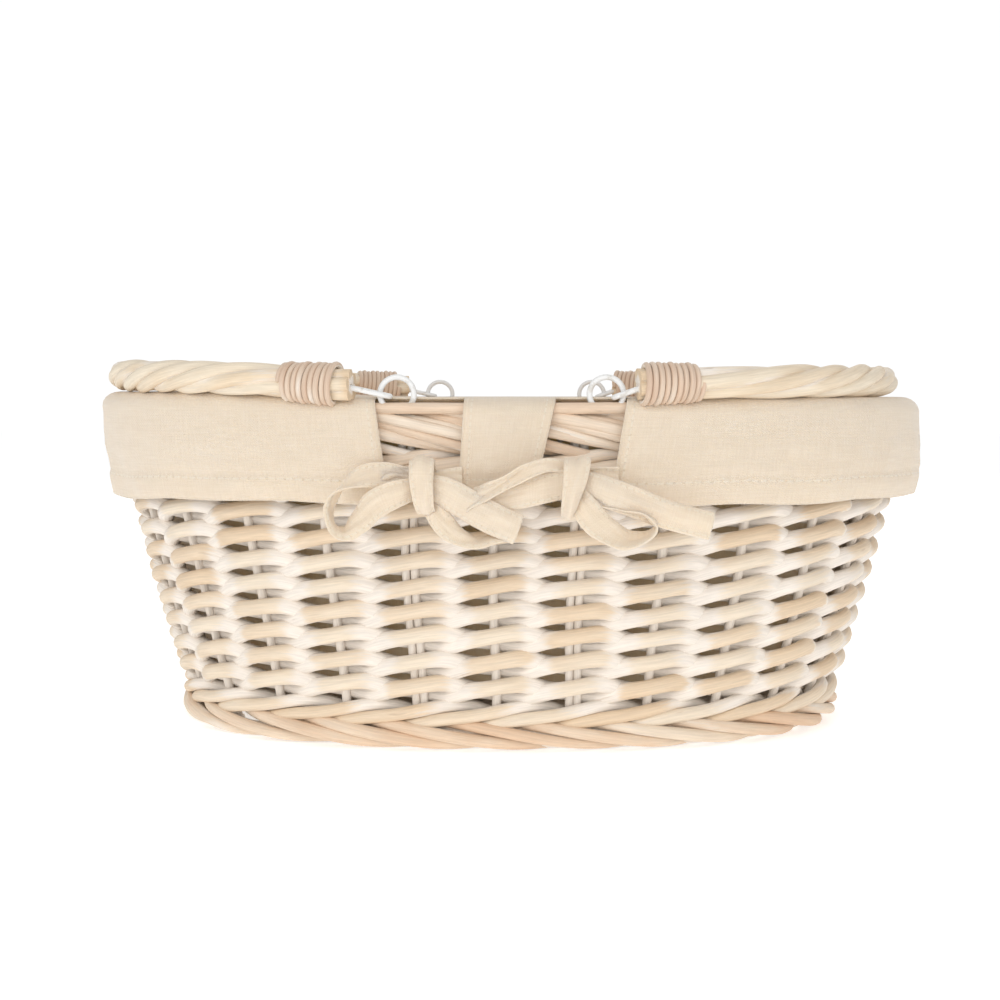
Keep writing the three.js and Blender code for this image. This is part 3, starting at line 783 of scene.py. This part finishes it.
# (out, height) of the cloth as it hangs outside, for the flaps and for the tabs
SKIRT = [(0.0043, 0.1572), (0.0063, 0.1500), (0.0080, 0.1430), (0.0093, 0.1340), (0.0103, 0.1250)]
SKIRT += [(0.0098, 0.1182)]
TAB_SKIRT = [(0.0043, 0.1572), (0.0060, 0.1500), (0.0070, 0.1430), (0.0078, 0.1340), (0.0086, 0.1270)]
TAB_SKIRT += [(0.0088, 0.1240)]
COLUMNS = {"tab": 20, "gap": 12, "flap": 120}


def calico_finish(name, base, shade):
    """Plain-woven cotton, read from the cloth's own UV map in metres, with stitched hems."""
    material, tree, shader = new_material(name)
    weave = add_node(tree, "ShaderNodeGroup", node_tree=calico_weave)
    cloth = add_node(tree, "ShaderNodeUVMap", uv_map="cloth")
    hem = add_node(tree, "ShaderNodeUVMap", uv_map="hem")
    tree.links.new(cloth.outputs["UV"], weave.inputs["Cloth"])
    tree.links.new(hem.outputs["UV"], weave.inputs["Hem"])
    weave.inputs["Base"].default_value = (*base, 1)
    weave.inputs["Shade"].default_value = (*shade, 1)
    bump = add_node(tree, "ShaderNodeBump", {"Height": weave.outputs["Height"], "Distance": 0.00022})
    tree.links.new(weave.outputs["Color"], shader.inputs["Base Color"])
    tree.links.new(bump.outputs["Normal"], shader.inputs["Normal"])
    for label, value in (
        ("Roughness", 0.92),
        ("Specular IOR Level", 0.15),
        ("Sheen Weight", 0.25),
        ("Sheen Roughness", 0.5),
        ("Subsurface Weight", 0.35),
        ("Subsurface Radius", (1.0, 0.85, 0.65)),
        ("Subsurface Scale", 0.003),
    ):
        shader.inputs[label].default_value = value
    return material


def calico_group():
    group, given, result = socket_group(
        "calico_weave",
        [
            ("Cloth", "NodeSocketVector", None),
            ("Hem", "NodeSocketVector", None),
            ("Base", "NodeSocketColor", (0.8, 0.7, 0.56, 1)),
            ("Shade", "NodeSocketColor", (0.7, 0.6, 0.45, 1)),
        ],
        [("Color", "NodeSocketColor"), ("Height", "NodeSocketFloat")],
    )

    def math_node(kind, *values):
        return maths(group, kind, *values)

    place = add_node(group, "ShaderNodeSeparateXYZ", {"Vector": given.outputs["Cloth"]})
    edges = add_node(group, "ShaderNodeSeparateXYZ", {"Vector": given.outputs["Hem"]})
    across, up = place.outputs["X"], place.outputs["Y"]
    threads = 2 * math.pi / THREAD_PITCH
    warp = math_node("SINE", math_node("MULTIPLY", across, threads))
    weft = math_node("SINE", math_node("MULTIPLY", up, threads))
    crossing = math_node("MULTIPLY", warp, weft)
    slubs = cloud(group, given.outputs["Cloth"], stretch=(90, 1500, 1))
    strips = cloud(group, given.outputs["Cloth"], stretch=(1500, 90, 1))
    soft = cloud(group, given.outputs["Cloth"], 45.0)
    uneven = math_node("ADD", slubs, strips)
    tint = ramp(group, math_node("MULTIPLY_ADD", soft, 0.6, uneven), 0.95, 1.75)
    cloth = mixed(group, tint, given.outputs["Shade"], given.outputs["Base"])

    def stitches(distance, line, run):
        """Dashes of thread along a line at a distance from an edge."""
        near = math_node("ABSOLUTE", math_node("SUBTRACT", distance, line))
        on_line = math_node("SUBTRACT", 1.0, ramp(group, near, 0.00025, 0.00055))
        dash = math_node("FRACT", math_node("MULTIPLY", run, 1 / STITCH_PITCH))
        gap = math_node("SUBTRACT", 1.0, ramp(group, dash, 0.66, 0.8))
        return math_node("MULTIPLY", on_line, gap), on_line

    low, low_line = stitches(edges.outputs["X"], HEM_DEPTH - 0.0012, across)
    flank, flank_line = stitches(edges.outputs["Y"], SIDE_HEM - 0.0006, up)
    thread = math_node("MAXIMUM", low, flank)
    pucker = math_node("MAXIMUM", low_line, flank_line)
    sewn = mixed(group, math_node("MULTIPLY", thread, 0.45), cloth, (0.84, 0.76, 0.64, 1))
    relief = math_node("MULTIPLY_ADD", crossing, 0.22, math_node("MULTIPLY", uneven, 0.5))
    relief = math_node("SUBTRACT", relief, math_node("MULTIPLY", pucker, 0.9))
    relief = math_node("MULTIPLY_ADD", thread, 1.1, relief)
    group.links.new(sewn, result.inputs["Color"])
    group.links.new(relief, result.inputs["Height"])
    return group


calico_weave = calico_group()
calico = calico_finish("calico_liner", (0.83, 0.70, 0.56), (0.77, 0.635, 0.495))


def edge_share(x, out, height):
    """The share of the way round at which the front of a row is at x."""
    share = np.linspace(-0.13, 0.13, 301)
    points, _ = on_wall(share, out, height)
    return float(np.interp(x, points[:, 0], share))


def liner_row_shares(out, height, outside):
    """Where the liner's columns fall in a row: its eight edges lean as the cloth hangs down."""
    drop = max(0.0, 0.165 - height) if outside else 0.0
    tab_left = edge_share(-0.0165 - 0.063 * drop, out, height)
    tab_right = edge_share(0.0240 - 0.22 * drop, out, height)
    flap_left = edge_share(-0.0564 + 0.15 * drop, out, height)
    flap_right = edge_share(0.0556 - 0.17 * drop, out, height)
    back_tab = edge_share(0.0205 - 0.09 * drop, out, height)
    back_flap = edge_share(0.0564 - 0.15 * drop, out, height)
    edges = [
        ("tab", tab_left, tab_right),
        ("gap", tab_right, flap_right),
        ("flap", flap_right, 0.5 - back_flap),
        ("gap", 0.5 - back_flap, 0.5 - back_tab),
        ("tab", 0.5 - back_tab, 0.5 + back_tab),
        ("gap", 0.5 + back_tab, 0.5 + back_flap),
        ("flap", 0.5 + back_flap, 1 + flap_left),
        ("gap", 1 + flap_left, 1 + tab_left),
    ]
    shares, kinds, flank = [], [], []
    for kind, start, end in edges:
        count = COLUMNS[kind]
        step = np.arange(count) / count
        shares.append(start + (end - start) * step)
        kinds += [kind] * count
        wide = (end - start) * 1.15
        flank.append(np.minimum(step, 1 - step) * wide)
    shares.append(np.array([1 + tab_left]))
    flank.append(np.array([0.0]))
    return np.concatenate(shares), kinds, np.concatenate(flank)


def liner_profile(skirt):
    """(out, height, is outside) of each row above the floor, up the wall, over the rim and down."""
    rows = [(LINER_WALL, z, False) for z in np.linspace(LINER_FLOOR + 0.003, FOLD_HEIGHT - 0.004, 24)]
    rows += [
        (FOLD_OUT - FOLD_REACH * math.cos(a), FOLD_HEIGHT + FOLD_RISE * math.sin(a), a > math.pi / 2)
        for a in np.linspace(0.0, math.pi, 13)
    ]
    skirt = np.array(skirt)
    fine = np.linspace(0, len(skirt) - 1, 23)[1:]
    out, height = (np.interp(fine, range(len(skirt)), skirt[:, k]) for k in (0, 1))
    return rows + [(float(o), float(z), True) for o, z in zip(out, height)]


def cloth_sheet(name, place, uv, hem, keep, thickness, rounds=1):
    """Makes a grid, moves it to its place, drops the faces not kept, and gives it its thickness."""
    rows, columns = place.shape[:2]
    bpy.ops.object.select_all(action="DESELECT")
    bpy.ops.mesh.primitive_grid_add(x_subdivisions=columns - 1, y_subdivisions=rows - 1, size=1)
    sheet = bpy.context.object
    sheet.name = name
    mesh = sheet.data
    mesh.vertices.foreach_set("co", place.reshape(-1, 3).ravel())
    corners = np.empty(len(mesh.loops), dtype=int)
    mesh.loops.foreach_get("vertex_index", corners)
    mesh.uv_layers[0].name = "cloth"
    mesh.uv_layers["cloth"].data.foreach_set("uv", uv.reshape(-1, 2)[corners].ravel())
    mesh.uv_layers.new(name="hem").data.foreach_set("uv", hem.reshape(-1, 2)[corners].ravel())
    bpy.context.tool_settings.mesh_select_mode = (False, False, True)
    for parts in (mesh.vertices, mesh.edges):
        parts.foreach_set("select", np.zeros(len(parts), dtype=bool))
    mesh.polygons.foreach_set("select", ~keep.ravel())
    mesh.update()
    bpy.ops.object.mode_set(mode="EDIT")
    if not keep.all():
        bpy.ops.mesh.delete(type="FACE")
    bpy.ops.mesh.select_mode(type="VERT")
    bpy.ops.mesh.select_all(action="SELECT")
    bpy.ops.mesh.remove_doubles(threshold=0.00002)
    bpy.ops.object.mode_set(mode="OBJECT")
    solid = sheet.modifiers.new("thickness", "SOLIDIFY")
    solid.thickness = thickness
    solid.offset = 0
    bpy.ops.object.modifier_apply(modifier="thickness")
    if rounds:
        rounded = sheet.modifiers.new("rounding", "SUBSURF")
        rounded.levels = rounded.render_levels = rounds
        bpy.ops.object.modifier_apply(modifier="rounding")
    bpy.ops.object.shade_smooth()
    return sheet


def make_liner():
    flap_rows, tab_rows = liner_profile(SKIRT), liner_profile(TAB_SKIRT)
    place, uv, hem, keep = [], [], [], []
    outline_shares, kinds, _ = liner_row_shares(LINER_WALL, LINER_FLOOR, False)
    outline, _ = on_wall(outline_shares, LINER_WALL, LINER_FLOOR)
    run = np.concatenate([[0.0], np.cumsum(np.linalg.norm(np.diff(outline, axis=0), axis=1))])
    for ring in range(FLOOR_RINGS):
        size = ring / FLOOR_RINGS
        row = outline * np.array((size, size, 1.0))
        swell = 0.0006 * ripple((p[0] * 28, p[1] * 28, 1.0) for p in row)
        row[:, 2] += swell * math.sin(math.pi * min(1, size * 1.1))
        place.append(row)
        uv.append(np.stack([row[:, 0] + 1, row[:, 1] + 1], -1))
        hem.append(np.ones((len(row), 2)))
        keep.append([True] * (len(row) - 1))
    up = 0.0
    last = None
    kept_outside = [kind != "gap" for kind in kinds]
    is_tab = np.array([kind == "tab" for kind in kinds] + [True])
    is_tab = is_tab | np.roll(is_tab, 1)
    for flap, tab in zip(flap_rows, tab_rows):
        out, height, outside = flap
        shares, _, flank = liner_row_shares(*flap)
        flap_points, ways_out = on_wall(shares, out, height)
        tab_points, _ = on_wall(liner_row_shares(*tab)[0], *tab[:2])
        points = np.where(is_tab[:, None], tab_points, flap_points)
        up += 0.0 if last is None else float(np.mean(np.linalg.norm(points - last, axis=1)))
        last = points.copy()
        round_x, round_y = np.cos(6.283 * shares), np.sin(6.283 * shares)
        sag = ripple((6 * x + 3, 6 * y, height * 24) for x, y in zip(round_x, round_y))
        fine = ripple((17 * x, 17 * y, height * 60) for x, y in zip(round_x, round_y))
        if outside and height < FOLD_HEIGHT + 0.004:
            hang = min(1.0, (FOLD_HEIGHT + 0.004 - height) / 0.03)
            crease = ripple((30 * s, 0.4, height * 150) for s in shares)
            move = hang * (0.0022 * sag + 0.0012 * fine + 0.0008 * crease)
            move = move - 0.0048 * hang * np.clip(-ways_out[:, 0], 0, 1)
        elif height > FOLD_HEIGHT - 0.012:
            move = 0.0002 * sag
        else:
            move = 0.0011 * sag + 0.0004 * fine - 0.0006
        points = points + ways_out * move[:, None]
        # The cloth is fuller over the left end, where the handle lies on it.
        raised = max(0.0, min(1.0, (height - 0.150) / 0.012))
        points[:, 2] += 0.0028 * (np.clip((-points[:, 0] - 0.06) / 0.08, 0, 1) * raised)
        place.append(points)
        uv.append(np.stack([run, np.full(len(run), up)], -1))
        keep.append([(not outside) or kept for kept in kept_outside])
        hem.append(np.stack([np.full(len(run), up), np.where(outside, flank, 1.0)], -1))
    for number, row in enumerate(flap_rows, FLOOR_RINGS):
        from_edge = up - hem[number][:, 0]
        hem[number][:, 0] = from_edge if row[2] else 1.0
        if row[2]:
            shares = liner_row_shares(*row)[0]
            _, ways_out = on_wall(shares, 0.0, 0.1)
            doubled = 0.00045 * np.clip((HEM_DEPTH - from_edge) / 0.0012 + 0.5, 0, 1)
            crease = -0.0005 * np.exp(-(((from_edge - HEM_DEPTH) / 0.0016) ** 2))
            side_fold = 0.0003 * np.clip((SIDE_HEM - hem[number][:, 1]) / 0.001 + 0.5, 0, 1)
            place[number] = place[number] + ways_out * (doubled + crease + side_fold)[:, None]
            low = np.clip((0.03 - from_edge) / 0.03, 0, 1)
            place[number][:, 2] += 0.0030 * ripple((s * 21, 0.3, 0.9) for s in shares) * low
    keep = np.array(keep[:-1]) & np.array(keep[1:])
    grids = (np.array(grid) for grid in (place, uv, hem))
    return cloth_sheet("calico_liner_cloth", *grids, keep, CLOTH_THICKNESS, rounds=0)


liner = make_liner()
liner_nodes = ("liner_bag", "liner_left_flap", "liner_right_flap", "liner_front_tab", "liner_back_tab")
settle(liner, calico, "cotton", "basket", *liner_nodes)

# ---- Bows ----
# Cotton ties are sewn to the corners of the flaps and tabs and tied in four bows. Their length is
# taken to be 180 mm, which is a guess. Each bow is a knot with loops and a loose end with a raw cut,
# and hangs in front of the weave.
TAPE_HALF_WIDTH = 0.0065
TAPE_THICKNESS = 0.0009
TAPE_CELLS = 8
ROWS_PER_KNOT = 9
tape_cotton = calico_finish("calico_tape", (0.845, 0.715, 0.575), (0.785, 0.65, 0.51))


def through(knots, count):
    """A smooth run of rows through all the knots."""
    knots = np.array(knots, float)
    padded = np.vstack([2 * knots[0] - knots[1], knots, 2 * knots[-1] - knots[-2]])
    place = np.linspace(0, len(knots) - 1, count)
    first = np.minimum(place.astype(int), len(knots) - 2)
    t = (place - first)[:, None]
    a, b, c, d = (padded[first + k] for k in range(4))
    return 0.5 * (
        2 * b + (c - a) * t + (2 * a - 5 * b + 4 * c - d) * t**2 + (3 * b - a - 3 * c + d) * t**3
    )


def tape(name, knots, seed, cup):
    """A strip of cotton through knots, cupped across by a share of its half width."""
    run = through(knots, ROWS_PER_KNOT * (len(knots) - 1) + 1)
    line = run[:, :3] / 1000
    across = run[:, 3:6]
    across = across / np.linalg.norm(across, axis=1)[:, None]
    wide = run[:, 6] * TAPE_HALF_WIDTH
    along = np.gradient(line, axis=0)
    along /= np.linalg.norm(along, axis=1)[:, None]
    face = np.cross(along, across)
    face /= np.linalg.norm(face, axis=1)[:, None]
    place, uv, hem = [], [], []
    length = np.concatenate([[0.0], np.cumsum(np.linalg.norm(np.diff(line, axis=0), axis=1))])
    for k in range(len(line)):
        row, row_uv, row_hem = [], [], []
        for cell in range(TAPE_CELLS + 1):
            t = 2 * cell / TAPE_CELLS - 1
            creased = noise.noise(Vector((length[k] * 110, t * 1.6, seed))) * 0.0017
            creased += noise.noise(Vector((length[k] * 38, t * 2.6, seed + 9))) * 0.0017
            lift = cup * wide[k] * (1 - t * t) + creased
            row.append(line[k] + across[k] * (wide[k] * t) + face[k] * lift)
            row_uv.append((t * TAPE_HALF_WIDTH + seed, length[k]))
            row_hem.append((1.0, (1 - abs(t)) * TAPE_HALF_WIDTH + 0.0022))
        place.append(row)
        uv.append(row_uv)
        hem.append(row_hem)
    keep = np.ones((len(line) - 1, TAPE_CELLS), dtype=bool)
    return cloth_sheet(name, np.array(place), np.array(uv), np.array(hem), keep, TAPE_THICKNESS)


def tied_bow(name, tapes):
    """Joins a bow's tapes into one piece."""
    made = [
        tape(f"{name}_{number}", knots, 3.7 * number + len(name), cup)
        for number, (cup, knots) in enumerate(tapes)
    ]
    bpy.ops.object.select_all(action="DESELECT")
    for piece in made:
        piece.select_set(True)
    bpy.context.view_layer.objects.active = made[0]
    bpy.ops.object.join()
    bow = bpy.context.object
    bow.name = name
    return bow


# Each tape is (cup, knots). A knot is x, y, z of the tape's middle in mm, the way across it, and its
# width as a share of the whole width.
LEFT_BOW = [
    # left loop: out at the back, round the left end and in again at the front
    (0.12, [
        (-36, -174.4, 129, 0, -0.3, 1.0, 0.75), (-48, -173.7, 132, 0, 0.1, 1.0, 0.9),
        (-60, -173.7, 132, 0.1, 0.6, 0.8, 1.0), (-70, -175.1, 128, 0.3, 0.9, 0.4, 1.0),
        (-75, -177.3, 119, 0.3, 1.0, 0.1, 1.0), (-74, -178.7, 110, 0.0, 1.0, 0.1, 1.0),
        (-68, -180.1, 107, -0.2, 0.9, 0.3, 1.0), (-62, -180.9, 112, -0.5, 0.6, 0.5, 1.0),
        (-56, -180.9, 119, -0.5, 0.1, 0.85, 1.0), (-47, -179.4, 124, -0.3, -0.1, 1.0, 0.95),
        (-36, -176.5, 127, 0, 0.0, 1.0, 0.75),
    ]),
    # right loose end, broad and flat, falling to the right
    (0.25, [
        (-33, -175.8, 128, 0.1, 0.1, 1.0, 0.75), (-24, -178.7, 125, 0.35, 0.0, 0.95, 1.05),
        (-14, -180.1, 119.5, 0.45, 0.0, 0.9, 1.1), (-3, -180.1, 113.5, 0.45, 0.1, 0.9, 1.1),
        (8, -178.7, 108.5, 0.35, 0.2, 0.95, 1.05),
    ]),
    # lower loop under it
    (0.12, [
        (-33, -176.5, 122, 0.3, 0.2, 0.9, 0.7), (-26, -179.4, 113, 0.8, 0.3, 0.5, 0.8),
        (-19, -180.1, 106, 0.6, 0.7, 0.4, 0.9), (-9, -178.7, 103.5, 0.2, 0.9, 0.3, 0.95),
        (1, -175.8, 106, 0.0, 0.9, 0.4, 0.9), (6, -173.7, 110, 0.0, 0.7, 0.7, 0.9),
        (-4, -172.9, 117, 0.0, 0.4, 0.9, 0.9), (-18, -173.7, 123, 0.0, 0.2, 1.0, 0.8),
        (-33, -174.4, 127, 0.0, 0.0, 1.0, 0.7),
    ]),
    # strands from the flap's corner and the tab's corner to the knot
    (0.12, [
        (-53, -171.5, 131, 0, 0.1, 1.0, 0.8), (-45, -172.6, 133, 0, 0.2, 1.0, 0.6),
        (-36, -173.7, 131, 0, 0.0, 1.0, 0.55),
    ]),
    (0.12, [
        (-17, -171.9, 131.5, 0, 0.1, 1.0, 0.75), (-26, -172.9, 132, 0, 0.3, 1.0, 0.5),
        (-34, -174.0, 130, 0, 0.0, 1.0, 0.5),
    ]),
    # knot
    (0.3, [
        (-33.5, -172.2, 134, 1.0, 0.0, -0.1, 0.85), (-34.5, -175.8, 138.2, 1.0, 0.0, -0.05, 0.85),
        (-34.5, -180.9, 136, 1.0, 0.0, 0.0, 0.85), (-34.3, -183.4, 129, 1.0, 0.0, 0.0, 0.8),
        (-33.6, -182.3, 121.5, 1.0, 0.0, 0.1, 0.7), (-32.6, -178.7, 117.0, 1.0, 0.0, 0.2, 0.6),
        (-32.6, -174.4, 119, 1.0, 0.0, 0.1, 0.6), (-33.2, -172.2, 126, 1.0, 0.0, 0.0, 0.7),
    ]),
]
RIGHT_BOW = [
    # left loop: folded flat, with its end turned over
    (0.12, [
        (31, -176.5, 136, 0.1, 0.1, 1.0, 0.45), (20, -179.4, 137, 0.1, 0.3, 1.0, 0.5),
        (8, -181.2, 132.5, 0.45, 0.2, 0.9, 0.85), (-3, -181.6, 126.5, 0.55, 0.0, 0.85, 1.0),
        (-11, -180.5, 123, 0.4, 0.3, 0.9, 1.0), (-13, -178.0, 121.5, 0.2, 0.5, 0.9, 1.0),
        (-5, -176.5, 121.5, 0.1, 0.2, 1.0, 0.95), (8, -176.5, 124, 0.0, 0.0, 1.0, 1.0),
        (20, -176.5, 127, 0.0, 0.0, 1.0, 1.05), (31, -176.2, 128.5, 0.0, 0.0, 1.0, 0.9),
    ]),
    # right loose end, long and broad
    (0.2, [
        (34, -175.8, 130, 0.1, 0.0, 1.0, 0.8), (44, -177.3, 126, 0.3, 0.0, 0.95, 1.05),
        (58, -177.3, 121, 0.3, 0.05, 0.95, 1.05), (74, -175.8, 115, 0.3, 0.1, 0.95, 1.0),
        (93, -173.3, 110, 0.25, 0.15, 0.97, 1.0),
    ]),
    # lower loop, open and hanging
    (0.12, [
        (33, -176.5, 125, 0.5, 0.0, 0.8, 0.6), (38, -180.1, 117, 0.85, 0.2, 0.5, 0.95),
        (45, -182.3, 109.5, 0.75, 0.5, 0.5, 1.05), (54, -182.3, 104.5, 0.3, 0.8, 0.6, 1.05),
        (63, -180.9, 105.5, 0.0, 1.0, 0.35, 1.0), (69, -178.7, 111, 0.0, 1.0, 0.2, 1.0),
        (65, -177.3, 117, 0.1, 0.95, 0.35, 0.95), (53, -176.5, 120.5, 0.1, 0.8, 0.6, 0.85),
        (41, -176.2, 123, 0.1, 0.4, 0.9, 0.7), (33, -175.8, 126, 0.1, 0.1, 1.0, 0.6),
    ]),
    # strands from the flap's corner and the tab's corner to the knot
    (0.12, [
        (52, -171.5, 131, 0, 0.1, 1.0, 0.8), (43, -172.6, 132, 0, 0.2, 1.0, 0.6),
        (34, -173.7, 131, 0, 0.0, 1.0, 0.55),
    ]),
    (0.12, [
        (15, -171.9, 131.5, 0, 0.1, 1.0, 0.75), (24, -172.9, 132, 0, 0.3, 1.0, 0.5),
        (32, -174.0, 130, 0, 0.0, 1.0, 0.5),
    ]),
    # knot
    (0.3, [
        (32.8, -172.2, 134, 1.0, 0.0, 0.1, 0.9), (33.6, -175.8, 138.8, 1.0, 0.0, 0.05, 0.9),
        (33.4, -180.9, 136.5, 1.0, 0.0, 0.1, 0.9), (32.4, -183.7, 129, 1.0, 0.0, 0.1, 0.8),
        (30.6, -182.7, 121, 1.0, 0.0, 0.2, 0.65), (29.6, -179.1, 115.8, 1.0, 0.0, 0.2, 0.5),
        (30.6, -174.4, 118, 1.0, 0.0, 0.1, 0.55), (32.0, -172.2, 126, 1.0, 0.0, 0.0, 0.7),
    ]),
]
for place, opposite, tapes in (
    ("front_left", "back_right", LEFT_BOW),
    ("front_right", "back_left", RIGHT_BOW),
):
    bow = tied_bow(f"{place}_tied_bow", tapes)
    bow.data.materials.append(tape_cotton)
    only(bow)
    bpy.ops.object.duplicate()
    back_bow = bpy.context.object
    back_bow.name = f"{opposite}_tied_bow"
    back_bow.rotation_euler.z = math.pi
    bpy.ops.object.transform_apply(location=True, rotation=True, scale=True)
    for piece, node in ((bow, f"{place}_bow"), (back_bow, f"{opposite}_bow")):
        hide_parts(node)
        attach(piece, "basket")
